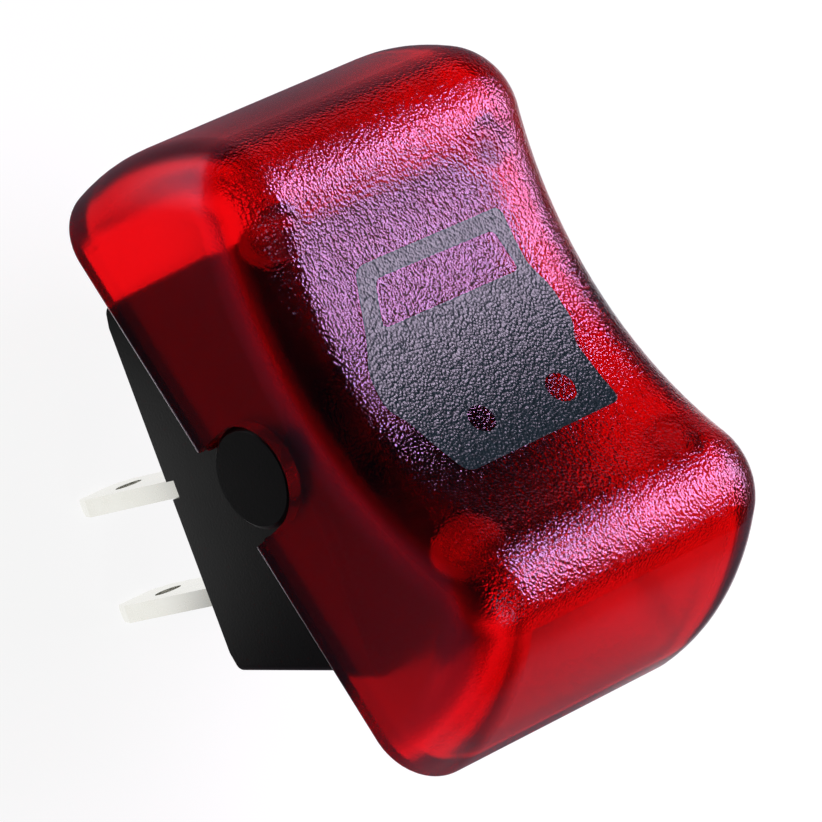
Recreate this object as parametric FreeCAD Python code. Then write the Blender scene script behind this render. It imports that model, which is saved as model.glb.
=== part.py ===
"""Illuminated rocker switch with a see-saw contact and a small filament lamp.

Frame: millimetres, origin at the centre of the housing's rear face, +Z out of
the panel toward the finger, +X along the rocker toward the raised end, and the
switch contacts on the -Y side of the housing.  It rests switched on: the rocker
is pressed down at its -X end, and the see-saw is down at its +X end.
"""
import FreeCAD
import Part
import math
import os

# Housing: an open tub whose end walls flare outward toward the rocker.
housing_rear_length = 16.6
housing_width = 14.4
housing_height = 9.8
housing_wall = 1.1
floor_thickness = 1.6
end_flare = 7.5
corner_round = 0.35
rear_bevel_run = 0.9
rear_bevel_rise = 0.24
partition_thickness = 0.8
cover_thickness = 0.9
ledge_width = 0.45

# Pivot: two round trunnions, one on each side wall.
pivot_below_rim = 2.2
trunnion_diameter = 4.6
pivot_clearance = 0.06
rocker_tilt = 18.6

# Rocker cap, in its own upright frame with the pivot at its origin.
rocker_length = 29.26
end_arc_drop = 1.07
skirt_drop = 2.2
dish_radius = 17.6
dish_height = 6.4
ridge_radius = 3.3
side_radius = 2.7
cap_wall = 1.45
cap_side_wall = 1.5
cap_side_gap = 0.25
skirt_edge_round = 0.35
post_diameter = 2.1
post_end_inset = 6.88
post_side_inset = 2.85
post_seat_gap = 0.05
nub_radius = 0.22

# Plunger, its tube under the cap, and its coil spring.
tube_diameter = 3.4
tube_wall = 0.5
tube_drop = 1.4
tube_ceiling = 3.7
plunger_clearance = 0.05
plunger_above_fulcrum = 1.55
plunger_tip_radius = 0.75
plunger_top = 1.0
plunger_bore_wall = 0.28
plunger_bore_floor = -1.6
spring_wire = 0.26
spring_turns = 8
spring_clearance = 0.05

# See-saw on the edge of the common terminal.
fulcrum_height = 3.3
fulcrum_radius = 0.35
fulcrum_clearance = 0.03
seesaw_tilt = 6.0
seesaw_thickness = 0.45
seesaw_wall_room = 1.1
seesaw_partition_room = 1.4
seesaw_waist_cut = 0.4
seesaw_half_length = 4.9
waist_half_length = 0.75
valley_clearance = 0.04

# Contact rivets.
contact_x = 3.8
contact_diameter = 1.8
contact_shank = 1.0
contact_head = 0.45
contact_dome = 2.2
contact_gap = 0.02

# Terminals: flat tabs 2.8 mm wide, moulded into the floor.
terminal_pitch = 4.9
blade_width = 2.8
blade_thickness = 0.8
blade_length = 7.2
blade_tip_taper = 0.55
blade_tip_run = 1.1
blade_hole_diameter = 1.2
blade_hole_inset = 2.6
blade_side_inset = 0.2
stem_width = 1.9
stem_side_inset = 0.1
root_pocket_depth = 0.5
bend_radius = 0.5

# Filament lamp and what carries it, on the +Y side.
lamp_diameter = 3.2
lamp_glass = 0.25
lamp_base_height = 4.0
lamp_tip_gap = 0.15
lamp_pinch = 0.8
lead_diameter = 0.4
lead_spacing = 1.0
lamp_post_height = 2.9
bead_height = 1.9
filament_radius = 0.14
filament_wire = 0.05
filament_turns = 11
solder_post_height = 3.0
solder_height = 0.75
solder_under_lead = 0.08
holder_half_length = 2.2
holder_side_gap = 0.3
holder_top = 6.0
holder_clearance = 0.05

# Hood over the lamp, raised from the cover, with its clear window.
hood_height = 1.6
hood_side_inset = 0.25
hood_top_half_length = 2.6
hood_foot_half_length = 5.0
window_diameter = 3.5
window_thickness = 0.6
window_clearance = 0.05

# Sizes that follow from the ones above.
half_width = housing_width / 2
half_rear = housing_rear_length / 2
flare = math.tan(math.radians(end_flare))
tilt_sine = math.sin(math.radians(rocker_tilt))
tilt_cosine = math.cos(math.radians(rocker_tilt))
pivot_height = housing_height - pivot_below_rim
plunger_reach = pivot_height - fulcrum_height - plunger_above_fulcrum
cover_top = housing_height
cover_bottom = housing_height - cover_thickness
inner_half_width = half_width - housing_wall
chamber_width = inner_half_width - partition_thickness / 2
cap_inner_half_width = half_width + cap_side_gap
rocker_width = 2 * (cap_inner_half_width + cap_side_wall)
post_x = rocker_length / 2 - post_end_inset
post_y = rocker_width / 2 - post_side_inset
notch_radius = trunnion_diameter / 2 + pivot_clearance
stem_outer_y = inner_half_width - stem_side_inset
stem_centre_y = stem_outer_y - stem_width / 2
blade_centre_y = half_width - blade_side_inset - blade_width / 2
tube_bore = tube_diameter - 2 * tube_wall
plunger_diameter = tube_bore - 2 * plunger_clearance
seesaw_arm_width = chamber_width - seesaw_wall_room - seesaw_partition_room
seesaw_waist_width = seesaw_arm_width - 2 * seesaw_waist_cut
mechanism_y = seesaw_wall_room + seesaw_arm_width / 2 - inner_half_width
holder_half_width = chamber_width / 2 - holder_side_gap
hood_half_width = holder_half_width - hood_side_inset
lamp_y = (inner_half_width + partition_thickness / 2) / 2


def vector(x, y, z):
    return FreeCAD.Vector(x, y, z)


def block(x0, x1, y0, y1, z0, z1):
    """Box between two corners."""
    return Part.makeBox(x1 - x0, y1 - y0, z1 - z0, vector(x0, y0, z0))


def rod(radius, x, y, z0, z1):
    """Upright cylinder."""
    return Part.makeCylinder(radius, z1 - z0, vector(x, y, z0))


def side_prism(points, y0, y1):
    """Closed outline in the XZ plane, drawn out along Y."""
    corners = [vector(x, y0, z) for x, z in points]
    face = Part.Face(Part.makePolygon(corners + corners[:1]))
    return face.extrude(vector(0, y1 - y0, 0))


def end_prism(points, x0, x1):
    """Closed outline in the YZ plane, drawn out along X."""
    corners = [vector(x0, y, z) for y, z in points]
    face = Part.Face(Part.makePolygon(corners + corners[:1]))
    return face.extrude(vector(x1 - x0, 0, 0))


def edges_where(shape, test):
    """Edges whose midpoint passes a test."""
    found = []
    for edge in shape.Edges:
        middle = edge.valueAt((edge.FirstParameter + edge.LastParameter) / 2)
        if test(edge, middle):
            found.append(edge)
    return found


def tilted(shape, angle, height):
    """Turn a shape about the Y axis, then lift it to a pivot's height."""
    turned = shape.copy()
    turned.rotate(vector(0, 0, 0), vector(0, 1, 0), angle)
    turned.translate(vector(0, 0, height))
    return turned


def on_rocker(shape):
    """Place what was drawn in the rocker's upright frame."""
    return tilted(shape, -rocker_tilt, pivot_height)


def on_seesaw(shape):
    """Place what was drawn with the see-saw level and its axis at the origin."""
    return tilted(shape, seesaw_tilt, fulcrum_height)


def inner_half_length(height):
    """Half length of the housing's hollow at a height."""
    return half_rear + height * flare - housing_wall


def flared_block(inset, half_y, z0, z1):
    """Block whose two ends follow the flared end walls, at an inset from them."""
    low = half_rear + z0 * flare - inset
    high = half_rear + z1 * flare - inset
    return side_prism([(-low, z0), (low, z0), (high, z1), (-high, z1)], -half_y, half_y)


def housing_shell():
    """Flared outside of the tub, with rounded upright corners and bevelled rear ends."""
    body = flared_block(0, half_width, 0, housing_height)

    def upright(edge, middle):
        return abs(abs(middle.y) - half_width) < 1e-6 and edge.BoundBox.ZLength > housing_height / 2

    body = body.makeFillet(corner_round, edges_where(body, upright))
    for side in (-1, 1):
        bevel = side_prism(
            [
                (side * (half_rear - rear_bevel_run), 0),
                (side * (half_rear + 1), 0),
                (side * (half_rear + 1), rear_bevel_rise * (1 + 1 / rear_bevel_run)),
            ],
            -half_width,
            half_width,
        )
        body = body.cut(bevel)
    return body


def blade_places():
    """Terminal positions: X, side of the housing, and how far the pocket runs out to that side."""
    return [(0, -1, 1), (terminal_pitch, -1, 0), (-terminal_pitch, 1, 0), (terminal_pitch, 1, 0)]


def stem(x, side, top):
    """Narrow part of a terminal that passes through the floor."""
    y0 = side * stem_centre_y - stem_width / 2
    half = blade_thickness / 2
    return block(x - half, x + half, y0, y0 + stem_width, root_pocket_depth, top)


def blade_pocket(x, side, opening):
    """Pocket in the rear face that the blade's shoulders are moulded into."""
    centre = side * blade_centre_y
    y0 = centre - blade_width / 2
    y1 = centre + blade_width / 2
    if side < 0:
        y0 = y0 - opening
    else:
        y1 = y1 + opening
    half = blade_thickness / 2
    return block(x - half, x + half, y0, y1, 0, root_pocket_depth)


def housing():
    """Moulded tub with a partition, cover ledge, trunnions and see-saw stop."""
    body = housing_shell()
    hollow = flared_block(housing_wall, inner_half_width, floor_thickness, housing_height)
    body = body.cut(hollow)
    divider = flared_block(housing_wall / 2, partition_thickness / 2, floor_thickness / 2, cover_bottom)
    body = body.fuse(divider)
    reach = inner_half_length(cover_bottom) + ledge_width
    ledge_half_width = inner_half_width + ledge_width
    body = body.cut(block(-reach, reach, -ledge_half_width, ledge_half_width, cover_bottom, housing_height))
    stop_x = seesaw_half_length - 0.4
    body = body.fuse(
        block(
            -stop_x - 0.4,
            -stop_x + 0.4,
            mechanism_y - seesaw_waist_width / 2,
            mechanism_y + seesaw_waist_width / 2,
            floor_thickness / 2,
            seesaw_stop_height(stop_x + 0.4),
        )
    )
    for side in (-1, 1):
        trunnion = Part.makeCylinder(
            trunnion_diameter / 2,
            rocker_width / 2 - half_width + 0.4,
            vector(0, side * (half_width - 0.5), pivot_height),
            vector(0, side, 0),
        )

        def outer_rim(edge, middle):
            return abs(edge.CenterOfMass.y) > half_width

        trunnion = trunnion.makeChamfer(0.2, edges_where(trunnion, outer_rim))
        body = body.fuse(trunnion)
    for x, side, opening in blade_places():
        body = body.cut(stem(x, side, floor_thickness + 1))
        body = body.cut(blade_pocket(x, side, opening))
    return body.removeSplitter()


def blade(x, side):
    """Flat tab behind the housing, with a tapered, bevelled tip and a hole."""
    centre = side * blade_centre_y
    top = root_pocket_depth
    half = blade_width / 2
    y_points = [
        (centre - half, top),
        (centre + half, top),
        (centre + half, blade_tip_run - blade_length),
        (centre + half - blade_tip_taper, -blade_length),
        (centre - half + blade_tip_taper, -blade_length),
        (centre - half, blade_tip_run - blade_length),
    ]
    tab = end_prism(y_points, x - blade_thickness / 2, x + blade_thickness / 2)

    def tip(edge, middle):
        return abs(middle.z + blade_length) < 1e-6 and edge.BoundBox.YLength > 0.5

    tab = tab.makeChamfer(0.2, edges_where(tab, tip))
    hole = Part.makeCylinder(
        blade_hole_diameter / 2,
        2 * blade_thickness,
        vector(x - blade_thickness, centre, blade_hole_inset - blade_length),
        vector(1, 0, 0),
    )
    return tab.cut(hole)


def common_terminal():
    """Tab whose top edge is the see-saw's fulcrum, between two prongs."""
    half = blade_thickness / 2
    body = blade(0, -1).fuse(stem(0, -1, floor_thickness))
    near = -stem_outer_y
    far = mechanism_y + seesaw_arm_width / 2 + 0.2
    prong_top = fulcrum_height + 1.7
    plate = block(-half, half, near, far, floor_thickness, prong_top)
    gap = seesaw_waist_width / 2 + 0.1
    plate = plate.cut(block(-1, 1, mechanism_y - gap, mechanism_y + gap, fulcrum_height, prong_top + 1))
    edge = Part.makeCylinder(fulcrum_radius, 2 * gap, vector(0, mechanism_y - gap, fulcrum_height), vector(0, 1, 0))
    shoulder = block(-half, half, mechanism_y - gap, mechanism_y + gap, fulcrum_height - 0.3, fulcrum_height)
    plate = plate.cut(shoulder).fuse(edge)
    return body.fuse(plate).removeSplitter()


def fixed_contact_height():
    """Height of the dome's centre, so that the tilted see-saw's rivet just clears it."""
    sine = math.sin(math.radians(seesaw_tilt))
    cosine = math.cos(math.radians(seesaw_tilt))
    face = seesaw_underside() - contact_head
    return fulcrum_height + (face - contact_gap - contact_dome - contact_x * sine) / cosine


def contact_seat():
    """Height of the load terminal's tongue, under the fixed rivet's head."""
    rim = fixed_contact_height() + math.sqrt(contact_dome ** 2 - (contact_diameter / 2) ** 2)
    return rim - 0.25


def load_terminal():
    """Tab whose top is bent over into a tongue for the fixed rivet."""
    half = blade_thickness / 2
    top = contact_seat()
    right = terminal_pitch + half
    left = contact_x - contact_diameter / 2 - 0.25
    profile = [
        (left, top),
        (right, top),
        (right, floor_thickness),
        (right - blade_thickness, floor_thickness),
        (right - blade_thickness, top - blade_thickness),
        (left, top - blade_thickness),
    ]
    tongue = side_prism(profile, -stem_outer_y, mechanism_y + seesaw_waist_width / 2)

    def bend(edge, middle):
        return abs(middle.x - right) < 1e-6 and abs(middle.z - top) < 1e-6

    tongue = tongue.makeFillet(bend_radius, edges_where(tongue, bend))
    tongue = tongue.cut(rod(contact_shank / 2, contact_x, mechanism_y, floor_thickness, top + 1))
    body = blade(terminal_pitch, -1).fuse(stem(terminal_pitch, -1, floor_thickness))
    return body.fuse(tongue).removeSplitter()


def fixed_contact():
    """Silver rivet with a domed head, through the load terminal's tongue."""
    seat = contact_seat()
    centre = vector(contact_x, mechanism_y, fixed_contact_height())
    head = rod(contact_diameter / 2, contact_x, mechanism_y, seat, seat + 2)
    head = head.common(Part.makeSphere(contact_dome, centre))
    shank = rod(contact_shank / 2, contact_x, mechanism_y, seat - blade_thickness, seat)
    return head.fuse(shank).removeSplitter()


def lamp_terminal(side):
    """Tab on the lamp's side, with a short post that takes the lamp's lead."""
    x = side * terminal_pitch
    return blade(x, 1).fuse(stem(x, 1, solder_post_height)).removeSplitter()


def plunger_path():
    """Rise and radius of the plunger tip's path, as the see-saw sees it."""
    sine = math.sin(math.radians(seesaw_tilt))
    cosine = math.cos(math.radians(seesaw_tilt))
    x = plunger_reach * tilt_sine
    z = pivot_height - plunger_reach * tilt_cosine - fulcrum_height
    run = x * cosine - z * sine
    rise = (x * sine + z * cosine) - (pivot_height - plunger_reach - fulcrum_height)
    return (run ** 2 + rise ** 2) / (2 * rise)


def valley():
    """Radius of the see-saw's valley and the height of its centre above the axis."""
    path = plunger_path()
    centre = pivot_height - plunger_reach + path - fulcrum_height
    return path + plunger_tip_radius + valley_clearance, centre


def seesaw_underside():
    """Height of the level arms' underside above the fulcrum axis."""
    radius, centre = valley()
    reach = seesaw_thickness + fulcrum_radius + fulcrum_clearance
    return reach - seesaw_thickness + (centre - radius - reach) + 0.27


def seesaw_stop_height(x):
    """Height of the housing's stop under the see-saw's other end."""
    sine = math.sin(math.radians(seesaw_tilt))
    cosine = math.cos(math.radians(seesaw_tilt))
    return fulcrum_height + seesaw_underside() * cosine - x * sine - 0.03


def seesaw():
    """Stamped strip with a rounded valley at its middle and a waist for the prongs."""
    radius, centre = valley()
    low = seesaw_underside()
    high = low + seesaw_thickness
    seat = fulcrum_radius + fulcrum_clearance
    half_y = seesaw_arm_width / 2
    strip = block(-seesaw_half_length, seesaw_half_length, -half_y, half_y, low, high)
    outer = Part.makeCylinder(centre - seat, seesaw_arm_width, vector(0, -half_y, centre), vector(0, 1, 0))
    dip = outer.common(block(-radius, radius, -half_y, half_y, seat, high))
    strip = strip.fuse(dip)
    hollow = Part.makeCylinder(radius, seesaw_arm_width + 2, vector(0, -half_y - 1, centre), vector(0, 1, 0))
    strip = strip.cut(hollow)
    waist = seesaw_waist_width / 2
    for y0, y1 in ((-half_y - 1, -waist), (waist, half_y + 1)):
        strip = strip.cut(block(-waist_half_length, waist_half_length, y0, y1, 0, high + 1))
    strip = strip.removeSplitter()

    def corner(edge, middle):
        at_end = abs(abs(middle.x) - seesaw_half_length) < 1e-6
        return at_end and edge.BoundBox.ZLength > seesaw_thickness / 2

    strip = strip.makeFillet(0.8, edges_where(strip, corner))
    strip = strip.cut(rod(contact_shank / 2, contact_x, 0, low - 1, high + 1))
    strip.translate(vector(0, mechanism_y, 0))
    return on_seesaw(strip)


def moving_contact():
    """Silver rivet through the see-saw's +X arm, its face on the underside."""
    low = seesaw_underside()
    high = low + seesaw_thickness
    face = rod(contact_diameter / 2, contact_x, mechanism_y, low - contact_head, low)
    shank = rod(contact_shank / 2, contact_x, mechanism_y, low - contact_head / 2, high + 0.1)
    upset = Part.makeCone(0.75, 0.5, 0.25, vector(contact_x, mechanism_y, high))
    return on_seesaw(face.fuse(shank).fuse(upset).removeSplitter())


def rocker_block(inset, half_y, bottom, edge_radius):
    """Rocker's outside, or its inside at an inset: arc ends, dished top, rounded edges."""
    end_radius = rocker_length / 2 - inset
    dish = dish_radius + inset
    dish_centre = dish_height + dish_radius
    between = dish_centre + end_arc_drop
    along = (end_radius ** 2 - dish ** 2 + between ** 2) / (2 * between)
    ridge_x = math.sqrt(end_radius ** 2 - along ** 2)
    ridge_z = along - end_arc_drop
    foot_x = math.sqrt(end_radius ** 2 - (bottom + end_arc_drop) ** 2)
    widest = vector(end_radius, -half_y, -end_arc_drop)
    if bottom > -end_arc_drop:
        widest = vector(foot_x, -half_y, bottom)
    middle_angle = math.atan2(ridge_z + end_arc_drop, ridge_x) / 2
    side_x = end_radius * math.cos(middle_angle)
    side_z = end_radius * math.sin(middle_angle) - end_arc_drop
    left_foot = vector(-foot_x, -half_y, bottom)
    right_foot = vector(foot_x, -half_y, bottom)
    left_ridge = vector(-ridge_x, -half_y, ridge_z)
    right_ridge = vector(ridge_x, -half_y, ridge_z)
    outline = [
        Part.makeLine(left_foot, right_foot),
        Part.Arc(right_foot, vector(side_x, -half_y, side_z), right_ridge).toShape(),
        Part.Arc(right_ridge, vector(0, -half_y, dish_centre - dish), left_ridge).toShape(),
        Part.Arc(left_ridge, vector(-side_x, -half_y, side_z), left_foot).toShape(),
    ]
    body = Part.Face(Part.Wire(outline)).extrude(vector(0, 2 * half_y, 0))

    def ridge(edge, middle):
        return abs(middle.y) < 1e-6 and middle.z > 0

    body = body.makeFillet(ridge_radius - inset, edges_where(body, ridge))

    def side_loop(edge, middle):
        return abs(abs(middle.y) - half_y) < 1e-6 and middle.z > bottom + 1e-6

    return body.makeFillet(edge_radius, edges_where(body, side_loop))


def cap_outside():
    return rocker_block(0, rocker_width / 2, -skirt_drop, side_radius)


def cap_hollow():
    return rocker_block(cap_wall, cap_inner_half_width, -skirt_drop - 1, side_radius - cap_wall)


def trunnion_notch(side):
    """Notch in the skirt, round at the trunnion and open at the skirt's edge."""
    outer = side * (rocker_width / 2 + 1)
    inner = side * (cap_inner_half_width - 1)
    y0 = min(outer, inner)
    y1 = max(outer, inner)
    slot = block(-notch_radius, notch_radius, y0, y1, -skirt_drop - 1, 0)
    return slot.fuse(Part.makeCylinder(notch_radius, y1 - y0, vector(0, y0, 0), vector(0, 1, 0)))


def snap_nubs(side):
    """Two small ribs that narrow the notch's mouth and keep the cap on."""
    y0 = side * (rocker_width / 2 - 0.5)
    y1 = side * cap_inner_half_width
    low = min(y0, y1)
    span = abs(y1 - y0)
    z = -skirt_drop + 2 * nub_radius
    nubs = []
    for end in (-1, 1):
        x = end * (notch_radius + nub_radius * 0.2)
        nubs.append(Part.makeCylinder(nub_radius, span, vector(x, low, z), vector(0, 1, 0)))
    return nubs


def stop_post_bottom():
    """Level of the corner posts, that meet the housing's rim at full tilt."""
    outer_edge = post_x + post_diameter / 2
    rim = cover_top - pivot_height + post_seat_gap
    return (rim + outer_edge * tilt_sine) / tilt_cosine


def rocker_cap():
    """Hollow translucent cap: dished top, skirts, corner posts and plunger tube."""
    outside = cap_outside()
    body = outside.cut(cap_hollow())

    def outer_rim(edge, middle):
        on_rim = abs(middle.z + skirt_drop) < 1e-6
        on_end = abs(middle.x) > rocker_length / 2 - cap_wall / 2
        return on_rim and (on_end or abs(middle.y) > rocker_width / 2 - cap_wall / 2)

    body = body.makeFillet(skirt_edge_round, edges_where(body, outer_rim))
    features = []
    for x in (-post_x, post_x):
        for y in (-post_y, post_y):
            features.append(rod(post_diameter / 2, x, y, stop_post_bottom(), 2 * dish_height))
    features.append(rod(tube_diameter / 2, 0, mechanism_y, -tube_drop, 2 * dish_height))
    added = features[0].multiFuse(features[1:]).common(outside)
    body = body.fuse(added)
    body = body.cut(rod(tube_bore / 2, 0, mechanism_y, -tube_drop - 1, tube_ceiling))
    for side in (-1, 1):
        body = body.cut(trunnion_notch(side))
        body = body.multiFuse(snap_nubs(side))
    return on_rocker(body.removeSplitter())


def plunger():
    """Hollow slider with a round tip that rides in the see-saw's valley."""
    radius = plunger_diameter / 2
    tip_z = -plunger_reach
    shoulder = tip_z + (radius - plunger_tip_radius)
    outline = [
        Part.makeLine(vector(0, 0, plunger_top), vector(0, 0, tip_z - plunger_tip_radius)),
        Part.Arc(
            vector(0, 0, tip_z - plunger_tip_radius),
            vector(plunger_tip_radius * math.sqrt(0.5), 0, tip_z - plunger_tip_radius * math.sqrt(0.5)),
            vector(plunger_tip_radius, 0, tip_z),
        ).toShape(),
        Part.makeLine(vector(plunger_tip_radius, 0, tip_z), vector(radius, 0, shoulder)),
        Part.makeLine(vector(radius, 0, shoulder), vector(radius, 0, plunger_top)),
        Part.makeLine(vector(radius, 0, plunger_top), vector(0, 0, plunger_top)),
    ]
    body = Part.Face(Part.Wire(outline)).revolve(vector(0, 0, 0), vector(0, 0, 1), 360)
    body = body.cut(rod(radius - plunger_bore_wall, 0, 0, plunger_bore_floor, plunger_top + 1))
    body.translate(vector(0, mechanism_y, 0))
    return on_rocker(body)


def plunger_spring():
    """Compression spring between the plunger's hollow and the tube's ceiling."""
    radius = plunger_diameter / 2 - plunger_bore_wall - spring_clearance - spring_wire / 2
    low = plunger_bore_floor + spring_wire / 2
    high = tube_ceiling - spring_wire / 2
    helix = Part.makeHelix((high - low) / spring_turns, high - low, radius)
    start = Part.Wire(Part.makeCircle(spring_wire / 2, vector(radius, 0, 0), vector(0, 1, 0)))
    coil = Part.Wire(helix).makePipeShell([start], True, True)
    coil.translate(vector(0, mechanism_y, low))
    return on_rocker(coil)


def lead_level():
    """Height of the leads where they run out to the terminals."""
    return solder_post_height + solder_under_lead + lead_diameter / 2


def lamp_lead_points(side):
    """Centre line of one lead: from the filament down, out, and to its terminal."""
    x = side * lead_spacing / 2
    level = lead_level()
    return [
        vector(side * 0.85, lamp_y, lamp_base_height + lamp_post_height + 0.6),
        vector(x, lamp_y, lamp_base_height + bead_height + 0.5),
        vector(x, lamp_y, level),
        vector(side * (holder_half_length + 0.5), lamp_y, level),
        vector(side * (terminal_pitch + 0.3), stem_centre_y, level),
    ]


def wire_along(points, radius):
    """Round wire bent along straight runs."""
    pieces = []
    for start, end in zip(points[:-1], points[1:]):
        run = end.sub(start)
        pieces.append(Part.makeCylinder(radius, run.Length, start, run))
    for bend in points[1:-1]:
        pieces.append(Part.makeSphere(radius, bend))
    return pieces[0].multiFuse(pieces[1:]).removeSplitter()


def lamp_lead(side):
    return wire_along(lamp_lead_points(side), lead_diameter / 2)


def lamp_leads():
    return lamp_lead(-1).fuse(lamp_lead(1))


def lamp_top():
    return cover_top + hood_height - window_thickness - lamp_tip_gap


def bulb_body(radius, low, high):
    """Cylinder with a round top."""
    straight = rod(radius, 0, lamp_y, low, high - radius)
    return straight.fuse(Part.makeSphere(radius, vector(0, lamp_y, high - radius))).removeSplitter()


def lamp_envelope():
    """Drawn glass bulb, closed at the foot by a solid pinch around the leads."""
    glass = bulb_body(lamp_diameter / 2, lamp_base_height, lamp_top())
    foot = rod(lamp_diameter, 0, lamp_y, 0, lamp_base_height)
    glass = glass.cut(foot)
    space = bulb_body(lamp_diameter / 2 - lamp_glass, lamp_base_height + lamp_pinch, lamp_top() - lamp_glass)
    space = space.cut(rod(lamp_diameter, 0, lamp_y, 0, lamp_base_height + lamp_pinch))
    return glass.cut(space).cut(lamp_leads())


def lamp_bead():
    """Small glass bead that ties the two leads together inside the bulb."""
    height = lamp_base_height + bead_height
    bead = Part.makeCylinder(0.45, lead_spacing + 0.7, vector(-lead_spacing / 2 - 0.35, lamp_y, height), vector(1, 0, 0))
    bead = bead.makeFillet(0.2, bead.Edges[0:1] + bead.Edges[2:3])
    return bead.cut(lamp_leads())


def lamp_filament():
    """Coiled tungsten wire between the tips of the two leads."""
    tip = lamp_lead_points(1)[0]
    length = 2 * tip.x
    helix = Part.makeHelix(length / filament_turns, length, filament_radius)
    start = Part.Wire(Part.makeCircle(filament_wire / 2, vector(filament_radius, 0, 0), vector(0, 1, 0)))
    coil = Part.Wire(helix).makePipeShell([start], True, True)
    coil.rotate(vector(0, 0, 0), vector(0, 1, 0), 90)
    coil.translate(vector(-tip.x, lamp_y, tip.z - 0.1))
    turns = coil.cut(lamp_leads()).Solids
    return max(turns, key=lambda solid: solid.Volume)


def lamp_holder():
    """Moulded block on the floor that holds the bulb upright and guides its leads."""
    body = block(
        -holder_half_length,
        holder_half_length,
        lamp_y - holder_half_width,
        lamp_y + holder_half_width,
        floor_thickness,
        holder_top,
    )

    def upright(edge, middle):
        return edge.BoundBox.ZLength > 1

    body = body.makeFillet(0.4, edges_where(body, upright))
    body = body.cut(rod(lamp_diameter / 2 + holder_clearance, 0, lamp_y, lamp_base_height, holder_top + 1))
    groove = lead_diameter / 2 + holder_clearance
    reach = holder_half_length + 1
    low = lead_level() - groove
    return body.cut(block(-reach, reach, lamp_y - groove, lamp_y + groove, low, lamp_base_height))


def solder_joint(side):
    """Cone of solder around a lead's end on its terminal."""
    x = side * terminal_pitch
    foot = blade_thickness / 2
    cone = Part.makeCone(foot, foot * 0.7, solder_height, vector(x, stem_centre_y, solder_post_height))
    return cone.cut(lamp_leads())


def housing_cover():
    """Plate on the housing's ledge, with a slot for the plunger tube and the lamp's hood."""
    gap = 0.05
    reach = inner_half_length(cover_bottom) + ledge_width - gap
    half_y = inner_half_width + ledge_width - gap
    plate = block(-reach, reach, -half_y, half_y, cover_bottom, cover_top)
    hood = side_prism(
        [
            (-hood_foot_half_length, cover_top - 0.1),
            (hood_foot_half_length, cover_top - 0.1),
            (hood_foot_half_length, cover_top),
            (hood_top_half_length, cover_top + hood_height),
            (-hood_top_half_length, cover_top + hood_height),
            (-hood_foot_half_length, cover_top),
        ],
        lamp_y - hood_half_width,
        lamp_y + hood_half_width,
    )
    body = plate.fuse(hood)
    swing = (cover_top - pivot_height) * tilt_sine / tilt_cosine
    slot_half = swing + tube_diameter / 2 / tilt_cosine + 0.3
    slot_y = tube_diameter / 2 + 0.25
    body = body.cut(
        block(-slot_half, slot_half, mechanism_y - slot_y, mechanism_y + slot_y, cover_bottom - 1, cover_top + 1)
    )
    window_seat = cover_top + hood_height - window_thickness
    shaft = lamp_diameter / 2 + 0.12
    body = body.cut(rod(shaft, 0, lamp_y, cover_bottom - 1, window_seat + 0.1))
    body = body.cut(rod(window_diameter / 2 + window_clearance, 0, lamp_y, window_seat, window_seat + 2))
    return body.removeSplitter()


def lamp_window():
    """Clear disc in the hood, flush with its top."""
    low = cover_top + hood_height - window_thickness
    disc = rod(window_diameter / 2, 0, lamp_y, low, cover_top + hood_height)

    def upper(edge, middle):
        return middle.z > low + window_thickness / 2 and len(edge.Vertexes) == 1

    return disc.makeFillet(0.15, edges_where(disc, upper))


nodes = {
    "rocker_cap": rocker_cap,
    "plunger": plunger,
    "plunger_spring": plunger_spring,
    "housing": housing,
    "housing_cover": housing_cover,
    "common_terminal": common_terminal,
    "load_terminal": load_terminal,
    "fixed_contact": fixed_contact,
    "lamp_terminal_left": lambda: lamp_terminal(-1),
    "lamp_terminal_right": lambda: lamp_terminal(1),
    "seesaw": seesaw,
    "moving_contact": moving_contact,
    "lamp_holder": lamp_holder,
    "lamp_envelope": lamp_envelope,
    "lamp_bead": lamp_bead,
    "lamp_filament": lamp_filament,
    "lamp_lead_left": lambda: lamp_lead(-1),
    "lamp_lead_right": lambda: lamp_lead(1),
    "solder_joint_left": lambda: solder_joint(-1),
    "solder_joint_right": lambda: solder_joint(1),
    "lamp_window": lamp_window,
}

os.makedirs("parts", exist_ok=True)
for name, make in nodes.items():
    shape = make()
    shape.exportStep("parts/" + name + ".step")
    print(name, shape.isValid(), len(shape.Solids), round(shape.Volume, 3))
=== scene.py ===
"""Illuminated rocker switch with a dished red translucent cap on a black housing.

Metres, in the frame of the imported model: origin at the centre of the housing's rear
face, +Z out of the panel, +X along the rocker to its raised end.
"""
import bmesh
import bpy
import math
from mathutils import Matrix, Vector


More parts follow.
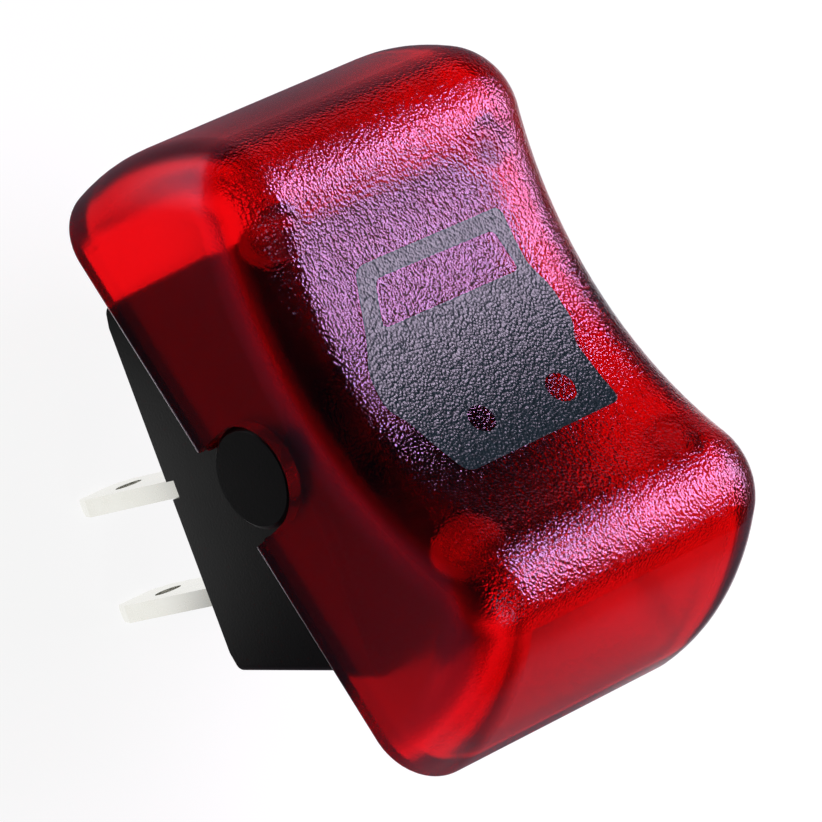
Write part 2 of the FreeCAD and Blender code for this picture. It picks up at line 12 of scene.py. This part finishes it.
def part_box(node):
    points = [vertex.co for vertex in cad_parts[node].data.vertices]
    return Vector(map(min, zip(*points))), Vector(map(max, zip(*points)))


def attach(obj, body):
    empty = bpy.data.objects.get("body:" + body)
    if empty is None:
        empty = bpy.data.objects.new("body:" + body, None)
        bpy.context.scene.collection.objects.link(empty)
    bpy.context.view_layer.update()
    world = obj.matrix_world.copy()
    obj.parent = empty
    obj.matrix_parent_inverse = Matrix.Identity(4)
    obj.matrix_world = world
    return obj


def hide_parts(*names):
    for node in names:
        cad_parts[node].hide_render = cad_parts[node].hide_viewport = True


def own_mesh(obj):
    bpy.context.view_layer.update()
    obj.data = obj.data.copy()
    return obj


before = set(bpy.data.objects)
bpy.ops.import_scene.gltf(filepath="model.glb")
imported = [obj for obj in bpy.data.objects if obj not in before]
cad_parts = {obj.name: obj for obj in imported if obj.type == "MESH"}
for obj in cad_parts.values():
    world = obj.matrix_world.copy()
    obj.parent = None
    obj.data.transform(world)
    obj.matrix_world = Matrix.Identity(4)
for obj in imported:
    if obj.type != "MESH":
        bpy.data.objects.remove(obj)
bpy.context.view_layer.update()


# Housing and cover.  Glass-filled black nylon, injection moulded.  The mould is lightly
# blasted, so the black has a fine satin grain and reflections blur at their edges.
def linear(code):
    """Turns an sRGB hex colour into linear light."""
    parts = [int(code[i:i + 2], 16) / 255 for i in (1, 3, 5)]
    light = [c / 12.92 if c <= 0.04045 else ((c + 0.055) / 1.055) ** 2.4 for c in parts]
    return (*light, 1)


def add(material, kind, settings=None, links=None, **attributes):
    """Adds one node with its attributes, its socket values and the links into it."""
    made = material.node_tree.nodes.new(kind)
    for name, value in attributes.items():
        setattr(made, name, value)
    for name, value in (settings or {}).items():
        made.inputs[name].default_value = value
    for name, source in (links or {}).items():
        material.node_tree.links.new(source, made.inputs[name])
    return made


def new_material(name):
    """Starts an empty material and returns it."""
    material = bpy.data.materials.new(name)
    material.use_nodes = True
    material.node_tree.nodes.clear()
    return material


def finish_material(material, shader, volume=None):
    """Joins the shader to the material's output."""
    links = {"Surface": shader.outputs[0]}
    if volume is not None:
        links["Volume"] = volume.outputs[0]
    add(material, "ShaderNodeOutputMaterial", links=links)
    return material


def dress(node, material):
    """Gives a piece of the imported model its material."""
    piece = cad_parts[node]
    for place in piece.material_slots:
        place.material = material
    if not piece.material_slots:
        piece.data.materials.append(material)


def moulded_nylon(name, colour, rough, grain_mm):
    """Nylon from a blasted mould: fine pits in the surface, a slightly uneven sheen."""
    material = new_material(name)
    place = add(material, "ShaderNodeTexCoord")
    grain = add(material, "ShaderNodeTexNoise", {"Scale": 1000 / grain_mm, "Detail": 2},
                {"Vector": place.outputs["Object"]})
    flow = add(material, "ShaderNodeTexNoise", {"Scale": 1000 / 2.5, "Detail": 3},
               {"Vector": place.outputs["Object"]})
    sheen = add(material, "ShaderNodeMapRange", {"To Min": rough - 0.06, "To Max": rough + 0.08},
                {"Value": flow.outputs["Fac"]})
    tint = add(material, "ShaderNodeMixRGB", {"Color1": linear(colour[0]), "Color2": linear(colour[1])},
               {"Fac": flow.outputs["Fac"]})
    pits = add(material, "ShaderNodeBump", {"Strength": 0.25, "Distance": 0.03 / 1000},
               {"Height": grain.outputs["Fac"]})
    shader = add(material, "ShaderNodeBsdfPrincipled", {"IOR": 1.53, "Specular IOR Level": 0.3},
                 {"Base Color": tint.outputs[0], "Roughness": sheen.outputs[0], "Normal": pits.outputs[0]})
    return finish_material(material, shader)


black_nylon = moulded_nylon("black_glass_filled_nylon", ("#030304", "#060608"), 0.42, 0.12)
dress("housing", black_nylon)
dress("housing_cover", black_nylon)


# Rocker cap.  Red translucent polycarbonate, moulded in one with the four corner posts
# inside that stop it on the housing.  The dished top comes from a spark-eroded mould face
# and is finely pitted; the skirts are nearly polished.  Sizes in millimetres and degrees.
rocker_tilt = 18.6
pivot_height = 7.6
post_along = 7.75
post_across = 6.1
post_radius = 1.2
post_top = 13.8
top_grain = 0.037


def eroded_grain(material, place, depth_mm):
    """Height of a spark-eroded face: small overlapping craters of uneven depth."""
    crater = add(material, "ShaderNodeTexVoronoi", {"Scale": 1000 / 0.14},
                 {"Vector": place.outputs["Object"]}, feature="F1")
    wander = add(material, "ShaderNodeTexNoise", {"Scale": 1000 / 0.3, "Detail": 3},
                 {"Vector": place.outputs["Object"]})
    both = add(material, "ShaderNodeMath", {1: 0.8},
               {0: crater.outputs["Distance"], 2: wander.outputs["Fac"]}, operation="MULTIPLY_ADD")
    return add(material, "ShaderNodeBump", {"Distance": depth_mm / 1000}, {"Height": both.outputs[0]})


def red_polycarbonate():
    """Clear red, deep where it is thick, with a lilac sheen where it mirrors a lamp.  Pitted
    on top, smooth on the skirts, and matt on the posts, which show as round spots."""
    material = new_material("red_polycarbonate")
    place = add(material, "ShaderNodeTexCoord")
    turn = math.radians(rocker_tilt)
    upright = add(material, "ShaderNodeVectorRotate", {"Center": (0, 0, pivot_height / 1000), "Angle": turn},
                  {"Vector": place.outputs["Object"]}, rotation_type="Y_AXIS")
    facing = add(material, "ShaderNodeVectorMath", {1: (-math.sin(turn), 0, math.cos(turn))},
                 {0: place.outputs["Normal"]}, operation="DOT_PRODUCT")
    top = add(material, "ShaderNodeMapRange", {"From Min": 0.55, "From Max": 0.8},
              {"Value": facing.outputs["Value"]})
    eroded = eroded_grain(material, place, top_grain)
    material.node_tree.links.new(top.outputs[0], eroded.inputs["Strength"])
    fine = add(material, "ShaderNodeTexNoise", {"Scale": 1000 / 0.09, "Detail": 0},
               {"Vector": place.outputs["Object"]})
    pits = add(material, "ShaderNodeBump", {"Distance": 0.006 / 1000, "Strength": 0.6},
               {"Height": fine.outputs["Fac"], "Normal": eroded.outputs[0]})
    folded = add(material, "ShaderNodeVectorMath", {}, {0: upright.outputs[0]}, operation="ABSOLUTE")
    quarter = add(material, "ShaderNodeSeparateXYZ", {}, {0: folded.outputs[0]})
    flat = add(material, "ShaderNodeCombineXYZ", {}, {"X": quarter.outputs["X"], "Y": quarter.outputs["Y"]})
    away = add(material, "ShaderNodeVectorMath", {1: (post_along / 1000, post_across / 1000, 0)},
               {0: flat.outputs[0]}, operation="DISTANCE")
    post = add(material, "ShaderNodeMath", {1: post_radius / 1000}, {0: away.outputs["Value"]},
               operation="LESS_THAN")
    level = add(material, "ShaderNodeSeparateXYZ", {}, {0: upright.outputs[0]})
    below = add(material, "ShaderNodeMath", {1: post_top / 1000}, {0: level.outputs["Z"]},
                operation="LESS_THAN")
    matt = add(material, "ShaderNodeMath", {}, {0: post.outputs[0], 1: below.outputs[0]},
               operation="MULTIPLY")
    polish = add(material, "ShaderNodeMapRange", {"To Min": 0.2, "To Max": 0.14}, {"Value": top.outputs[0]})
    sheen = add(material, "ShaderNodeMapRange", {"To Max": 0.75},
                {"Value": matt.outputs[0], "To Min": polish.outputs[0]})
    shader = add(material, "ShaderNodeBsdfPrincipled",
                 {"Base Color": linear("#ff2230"), "Transmission Weight": 1, "IOR": 1.58,
                  "Specular Tint": (1, 0.55, 1, 1)},
                 {"Roughness": sheen.outputs[0], "Normal": pits.outputs[0]})
    depth = add(material, "ShaderNodeVolumeAbsorption", {"Color": (0.94, 0.01, 0.05, 1), "Density": 1400})
    return finish_material(material, shader, depth)


dress("rocker_cap", red_polycarbonate())


# Legend.  A pictogram of a vehicle's front, pad printed on the dish in one grey-green ink.
# The film is about 0.02 mm thick and takes on the grain of the plastic below it.  Its
# strips' edges are shifted a little, so that none falls on a point of the outline.
dish_radius = 17.6
dish_height = 6.4
ink_thickness = 0.022
ink_sunk = 0.4 * ink_thickness
strip_width = 0.4
strips_each_way = 12
strip_shift = 0.013


def on_rocker(along, across, level):
    """From millimetres on the upright rocker, pivot at zero, to metres on the tilted one."""
    turn = math.radians(rocker_tilt)
    x = along * math.cos(turn) - level * math.sin(turn)
    z = along * math.sin(turn) + level * math.cos(turn) + pivot_height
    return Vector((x / 1000, across / 1000, z / 1000))


def on_dish(along, across, above):
    """Point of the dish, or a little above it."""
    level = dish_height + dish_radius - math.sqrt(dish_radius ** 2 - along ** 2) + above
    return on_rocker(along, across, level)


def rounded(corners, radius, steps=6):
    """Closed outline with each corner replaced by a small arc."""
    outline = []
    for i, corner in enumerate(corners):
        here = Vector(corner)
        before = (Vector(corners[i - 1]) - here).normalized()
        after = (Vector(corners[(i + 1) % len(corners)]) - here).normalized()
        for step in range(steps + 1):
            t = step / steps
            a = here + before * radius
            b = here + after * radius
            outline.append(a.lerp(here, t).lerp(here.lerp(b, t), t))
    return outline


def ring(along, across, radius, count=28):
    """Closed round outline."""
    turns = [2 * math.pi * i / count for i in range(count)]
    return [Vector((along + radius * math.cos(t), across + radius * math.sin(t))) for t in turns]


def printed_legend():
    """The print as a thin closed film: a flat outline cut into strips, so that it can bend,
    then thickened and laid on the dish, partly below its surface so that no gap shows."""
    body = [(-4.85, -3.9), (-4.75, 4.7), (-2.1, 4.75), (-0.8, 5.3), (1.0, 5.3), (1.7, 4.7),
            (5.0, 4.6), (5.0, -4.6), (1.9, -5.4), (1.0, -6.0), (-0.6, -5.8), (-2.1, -4.9)]
    window = [(-4.1, -3.15), (-3.95, 3.85), (-2.0, 4.2), (-2.1, -3.9)]
    flat = bpy.data.curves.new("legend_outline", "CURVE")
    flat.dimensions = "2D"
    flat.fill_mode = "BOTH"
    headlamps = [ring(3.1, -2.1, 0.65), ring(3.35, 2.45, 0.72)]
    for outline in (rounded(body, 0.5), rounded(window, 0.35), *headlamps):
        spline = flat.splines.new("POLY")
        spline.points.add(len(outline) - 1)
        for point, place in zip(spline.points, outline):
            point.co = (place.x, place.y, 0, 1)
        spline.use_cyclic_u = True
    holder = bpy.data.objects.new("legend_outline", flat)
    bpy.context.scene.collection.objects.link(holder)
    bpy.context.view_layer.update()
    film = bmesh.new()
    film.from_mesh(bpy.data.meshes.new_from_object(holder))
    bpy.data.objects.remove(holder)
    for strip in range(-strips_each_way, strips_each_way + 1):
        bmesh.ops.bisect_plane(film, geom=film.verts[:] + film.edges[:] + film.faces[:],
                               plane_co=(strip * strip_width + strip_shift, 0, 0), plane_no=(1, 0, 0))
    bmesh.ops.remove_doubles(film, verts=film.verts, dist=0.0001)
    grown = bmesh.ops.extrude_face_region(film, geom=film.faces[:])
    raised = {v for v in grown["geom"] if isinstance(v, bmesh.types.BMVert)}
    for vert in film.verts:
        above = ink_thickness - ink_sunk if vert in raised else -ink_sunk
        vert.co = on_dish(vert.co.x, vert.co.y, above)
    bmesh.ops.recalc_face_normals(film, faces=film.faces)
    mesh = bpy.data.meshes.new("legend_print")
    film.to_mesh(mesh)
    film.free()
    piece = bpy.data.objects.new("legend_print", mesh)
    bpy.context.scene.collection.objects.link(piece)
    return piece


def pad_print_ink():
    """Thin grey-green ink, slightly uneven, that glints as the pitted plastic below does."""
    material = new_material("pad_print_ink")
    place = add(material, "ShaderNodeTexCoord")
    patch = add(material, "ShaderNodeTexNoise", {"Scale": 1000 / 0.25, "Detail": 2},
                {"Vector": place.outputs["Object"]})
    tint = add(material, "ShaderNodeMixRGB", {"Color1": linear("#122024"), "Color2": linear("#22393c")},
               {"Fac": patch.outputs["Fac"]})
    eroded = eroded_grain(material, place, top_grain)
    shader = add(material, "ShaderNodeBsdfPrincipled", {"Roughness": 0.28, "IOR": 1.5},
                 {"Base Color": tint.outputs[0], "Normal": eroded.outputs[0]})
    return finish_material(material, shader)


legend = printed_legend()
legend.data.materials.append(pad_print_ink())
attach(legend, "rocker")


# Terminals.  Four tabs stamped from brass strip, each with a hole for the wire, tinned
# bright after stamping and pressed into the housing's floor.
def tinned_brass():
    """Pale bright tin with faint clouds, soft enough to show no clear mirror image."""
    material = new_material("tinned_brass")
    place = add(material, "ShaderNodeTexCoord")
    cloud = add(material, "ShaderNodeTexNoise", {"Scale": 1000 / 1.11, "Detail": 4},
                {"Vector": place.outputs["Object"]})
    tint = add(material, "ShaderNodeMixRGB", {"Color1": linear("#e4e3da"), "Color2": linear("#f8f8f3")},
               {"Fac": cloud.outputs["Fac"]})
    sheen = add(material, "ShaderNodeMapRange", {"To Min": 0.2, "To Max": 0.36},
                {"Value": cloud.outputs["Fac"]})
    shader = add(material, "ShaderNodeBsdfPrincipled", {"Metallic": 1},
                 {"Base Color": tint.outputs[0], "Roughness": sheen.outputs[0]})
    return finish_material(material, shader)


tin = tinned_brass()
for node in ("common_terminal", "load_terminal", "lamp_terminal_left", "lamp_terminal_right"):
    dress(node, tin)


# Contacts and see-saw.  The rocking arm is phosphor bronze strip with a rolled sheen;
# the contact rivets are fine silver, turned dull grey by handling.
def worn_metal(name, dull, bright, low, high, grain_mm):
    """Metal with a patchy tone and sheen from rolling, handling and light tarnish."""
    material = new_material(name)
    place = add(material, "ShaderNodeTexCoord")
    patch = add(material, "ShaderNodeTexNoise", {"Scale": 1000 / grain_mm, "Detail": 4, "Roughness": 0.6},
                {"Vector": place.outputs["Object"]})
    tint = add(material, "ShaderNodeMixRGB", {"Color1": linear(dull), "Color2": linear(bright)},
               {"Fac": patch.outputs["Fac"]})
    sheen = add(material, "ShaderNodeMapRange", {"To Min": low, "To Max": high},
                {"Value": patch.outputs["Fac"]})
    shader = add(material, "ShaderNodeBsdfPrincipled", {"Metallic": 1},
                 {"Base Color": tint.outputs[0], "Roughness": sheen.outputs[0]})
    return finish_material(material, shader)


dress("seesaw", worn_metal("phosphor_bronze_rolled", "#9a5f3c", "#c98a5c", 0.25, 0.45, 1.2))
silver = worn_metal("silver_contact_rivet", "#a8a49c", "#dcdad2", 0.2, 0.4, 0.5)
dress("fixed_contact", silver)
dress("moving_contact", silver)


# Plunger and spring.  The plunger is white acetal, slippery and faintly waxy; the spring
# is bright drawn steel wire.
def waxy_plastic(name, shade, light, rough, grain_mm):
    """Pale moulded plastic that lets a little light in below its surface."""
    material = new_material(name)
    place = add(material, "ShaderNodeTexCoord")
    flow = add(material, "ShaderNodeTexNoise", {"Scale": 1000 / grain_mm, "Detail": 3},
               {"Vector": place.outputs["Object"]})
    tint = add(material, "ShaderNodeMixRGB", {"Color1": linear(shade), "Color2": linear(light)},
               {"Fac": flow.outputs["Fac"]})
    pits = add(material, "ShaderNodeBump", {"Strength": 0.2, "Distance": 0.02 / 1000},
               {"Height": flow.outputs["Fac"]})
    shader = add(material, "ShaderNodeBsdfPrincipled",
                 {"Roughness": rough, "IOR": 1.48, "Subsurface Weight": 0.15, "Subsurface Scale": 0.0005},
                 {"Base Color": tint.outputs[0], "Normal": pits.outputs[0]})
    return finish_material(material, shader)


dress("plunger", waxy_plastic("white_acetal_turned_smooth", "#e6e4dc", "#f4f3ee", 0.3, 0.6))


spring_wire = 0.26
wire_sides = 8
spring_turns = 8
steps_per_turn = 24
spring_low = -1.47
spring_high = 3.57


def coil_spring():
    """The spring as a mesh of its own."""
    low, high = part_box("plunger_spring")
    middle = (low[1] + high[1]) / 2 * 1000
    outer = (high[1] - low[1]) / 2 * 1000
    radius = outer - spring_wire / 2
    coil = bmesh.new()
    rings = []
    for step in range(spring_turns * steps_per_turn + 1):
        angle = 2 * math.pi * step / steps_per_turn
        level = spring_low + (spring_high - spring_low) * step / (spring_turns * steps_per_turn)
        section = []
        for side in range(wire_sides):
            around = 2 * math.pi * side / wire_sides
            reach = radius + spring_wire / 2 * math.cos(around)
            rise = level + spring_wire / 2 * math.sin(around)
            along = reach * math.cos(angle)
            across = middle + reach * math.sin(angle)
            section.append(coil.verts.new(on_rocker(along, across, rise)))
        rings.append(section)
    for before, after in zip(rings, rings[1:]):
        for side in range(wire_sides):
            nearby = (side + 1) % wire_sides
            coil.faces.new((before[side], before[nearby], after[nearby], after[side])).smooth = True
    coil.faces.new(rings[0][::-1])
    coil.faces.new(rings[-1])
    bmesh.ops.recalc_face_normals(coil, faces=coil.faces)
    mesh = bpy.data.meshes.new("coil_spring")
    coil.to_mesh(mesh)
    coil.free()
    piece = bpy.data.objects.new("coil_spring", mesh)
    bpy.context.scene.collection.objects.link(piece)
    return piece


spring = coil_spring()
spring.data.materials.append(worn_metal("drawn_spring_steel", "#8d8f93", "#c4c6ca", 0.15, 0.3, 0.3))
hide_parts("plunger_spring")
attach(spring, "rocker")
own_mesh(spring)


# Lamp.  A wedge lamp of clear blown glass with a tungsten coil on two wires, held by a
# glass bead and soldered to the two lamp terminals above a white nylon holder.
def clear_glass(name, tone, rough, ior):
    """Clear glass or plastic with faint ripples from how it was formed."""
    material = new_material(name)
    place = add(material, "ShaderNodeTexCoord")
    ripple = add(material, "ShaderNodeTexNoise", {"Scale": 1000 / 1.43, "Detail": 1},
                 {"Vector": place.outputs["Object"]})
    wave = add(material, "ShaderNodeBump", {"Strength": 0.3, "Distance": 0.04 / 1000},
               {"Height": ripple.outputs["Fac"]})
    shader = add(material, "ShaderNodeBsdfPrincipled",
                 {"Base Color": linear(tone), "Roughness": rough, "IOR": ior, "Transmission Weight": 1},
                 {"Normal": wave.outputs[0]})
    return finish_material(material, shader)


dress("lamp_envelope", clear_glass("blown_lamp_glass", "#fbfdfd", 0.01, 1.5))
dress("lamp_bead", clear_glass("pressed_bead_glass", "#dcebe6", 0.05, 1.52))
dress("lamp_filament", worn_metal("tungsten_coil", "#4c4c50", "#8a8a90", 0.35, 0.5, 0.1))
dress("lamp_holder", waxy_plastic("white_nylon_moulded", "#dedbd0", "#efede4", 0.42, 0.4))
wire = worn_metal("tinned_copper_wire", "#b0aea6", "#e2e1da", 0.2, 0.35, 0.4)
solder = worn_metal("solder_fillet", "#a0a3a6", "#dfe2e4", 0.12, 0.4, 0.3)
for side in ("left", "right"):
    dress("lamp_lead_" + side, wire)
    dress("solder_joint_" + side, solder)


# Window.  Clear polycarbonate disc pressed into the hood over the lamp.
dress("lamp_window", clear_glass("clear_polycarbonate_moulded", "#f7f9fa", 0.06, 1.58))


# Floor and backdrop, which aren't part of the object: one sheet of matt white paper, plain
# to the camera.  Through the cap and in reflections it is not plain: it has round patches,
# set for the photograph's view, that bring the cap's tones near the photograph's.
# The bright patches are painted light, seen in reflections, and the dark ones are painted shade, seen
# through the cap. Each is a centre, an inner and an outer radius in millimetres, and a brightness.
floor_level = -7.25
paper_reach = 2
paper_seen = 0.9
paper_mirrored = 0.03
# Painted light: bright round patches that only reflections see, standing in for pools of lamp light on the
# floor.
painted_light_patches = [((1, -4), 8, 12, 1), ((-45, -32), 18, 32, 1),
                  ((5, 32), 14, 24, 1), ((55, -12), 15, 28, 0.25)]
# Painted shade: dark round patches that rays through the cap see, standing in for the switch's shadow on the
# floor.
painted_shade_patches = [((-21, 11.5), 6, 9.5, 0.04), ((-9, 12.5), 3.5, 6.5, 0.05), ((2, 13.5), 5, 8, 0),
                ((11, 13), 4, 7, 0), ((13, 6.5), 3.5, 6, 0.1), ((6, -1), 3, 5, 0)]


def patchwork(material, place, patches, beyond, choice):
    """Brightness of the paper: round patches, painted light in one call and painted shade in the other,
    that fade into what lies beyond them, joined by taking the brighter or the darker one."""
    joined = None
    for (along, across), inner, outer, brightness in patches:
        away = add(material, "ShaderNodeVectorMath", {1: (along / 1000, across / 1000, floor_level / 1000)},
                   {0: place.outputs["Position"]}, operation="DISTANCE")
        patch = add(material, "ShaderNodeMapRange",
                    {"From Min": inner / 1000, "From Max": outer / 1000,
                     "To Min": brightness, "To Max": beyond}, {"Value": away.outputs["Value"]})
        if joined is None:
            joined = patch
        else:
            joined = add(material, "ShaderNodeMath", {}, {0: joined.outputs[0], 1: patch.outputs[0]},
                         operation=choice)
    return joined


def paper_with_painted_light_and_shade():
    """White where the camera sees it.  Through the cap it has the patches of painted shade, and in
    reflections it is dark but for the patches of painted light.  The matt part takes the shadow."""
    material = new_material("paper_with_painted_light_and_shade")
    path = add(material, "ShaderNodeLightPath")
    place = add(material, "ShaderNodeNewGeometry")
    # Painted light on the floor, seen only in reflections.
    painted_light_level = patchwork(material, place, painted_light_patches, paper_mirrored, "MAXIMUM")
    # Painted shade on the floor, seen only through the cap.
    shade = patchwork(material, place, painted_shade_patches, 1, "MINIMUM")
    mirrored = add(material, "ShaderNodeMath", {}, {0: path.outputs["Is Glossy Ray"], 1: painted_light_level.outputs[0]},
                   operation="MULTIPLY")
    other = add(material, "ShaderNodeMix", {}, {"Factor": path.outputs["Is Transmission Ray"],
                                                "A": mirrored.outputs[0], "B": shade.outputs[0]})
    seen = add(material, "ShaderNodeMath", {1: paper_seen}, {0: path.outputs["Is Camera Ray"]},
               operation="MULTIPLY")
    strength = add(material, "ShaderNodeMath", {}, {0: seen.outputs[0], 1: other.outputs[0]},
                   operation="MAXIMUM")
    matt = add(material, "ShaderNodeBsdfDiffuse", {"Color": linear("#6c6c6c")})
    glow = add(material, "ShaderNodeEmission", {"Color": linear("#ffffff")},
               {"Strength": strength.outputs[0]})
    both = add(material, "ShaderNodeAddShader", {}, {0: matt.outputs[0], 1: glow.outputs[0]})
    return finish_material(material, both)


square = [(-paper_reach, -paper_reach), (paper_reach, -paper_reach), (paper_reach, paper_reach),
          (-paper_reach, paper_reach)]
sheet = bpy.data.meshes.new("floor")
sheet.from_pydata([(x, y, floor_level / 1000) for x, y in square], [], [(0, 1, 2, 3)])
floor = bpy.data.objects.new("floor", sheet)
bpy.context.scene.collection.objects.link(floor)
floor.data.materials.append(paper_with_painted_light_and_shade())


# Light: a dim white room, a lilac softbox beyond the far side in two parts, the lower one
# taller and dimmer, and a small white one above on the +X side.
room_strength = 0.02
lamp_distance = 0.6
lilac = (0.92, 0.74, 1)
white = (1, 1, 1)

world = bpy.data.worlds.new("studio")
bpy.context.scene.world = world
world.use_nodes = True
world.node_tree.nodes["Background"].inputs["Color"].default_value = linear("#ffffff")
world.node_tree.nodes["Background"].inputs["Strength"].default_value = room_strength


def softbox(name, direction, width, height, power, colour):
    """Rectangular lamp that faces the switch from a direction, its width along X.  It is
    hidden from rays that pass through the cap, which keeps the cap's dark parts dark."""
    lamp = bpy.data.lights.new(name, "AREA")
    lamp.shape = "RECTANGLE"
    lamp.size = width
    lamp.size_y = height
    lamp.energy = power
    lamp.color = colour
    holder = bpy.data.objects.new(name, lamp)
    holder.visible_transmission = False
    bpy.context.scene.collection.objects.link(holder)
    toward = Vector(direction).normalized()
    across = toward.cross(Vector((1, 0, 0))).normalized()
    aside = across.cross(toward)
    holder.matrix_world = Matrix((
        (aside.x, across.x, toward.x, toward.x * lamp_distance),
        (aside.y, across.y, toward.y, toward.y * lamp_distance),
        (aside.z, across.z, toward.z, toward.z * lamp_distance),
        (0, 0, 0, 1),
    ))


softbox("key", (-0.11, 0.66, 0.743), 0.43, 0.14, 3.1, lilac)
softbox("key_skirt", (0.06, 0.84, 0.54), 0.34, 0.21, 1.8, lilac)
softbox("fill", (0.55, -0.2, 0.8), 0.2, 0.2, 0.3, white)


# Camera: a long lens that looks down on the near side from some 33 cm, rolled so that the
# rocker lies across the frame as in the photograph.
camera = bpy.data.objects.new("camera", bpy.data.cameras.new("camera"))
bpy.context.scene.collection.objects.link(camera)
camera.data.lens = 337.76
camera.data.sensor_width = 36
camera.data.clip_start = 0.01
eye = Vector((-0.033853, -0.207351, 0.257884))
right = Vector((0.34378, 0.69878, 0.62731))
up = Vector((-0.93324, 0.32843, 0.14559))
back = right.cross(up)
camera.matrix_world = Matrix((
    (right.x, up.x, back.x, eye.x),
    (right.y, up.y, back.y, eye.y),
    (right.z, up.z, back.z, eye.z),
    (0, 0, 0, 1),
))
bpy.context.scene.camera = camera
bpy.context.scene.view_settings.view_transform = "Standard"
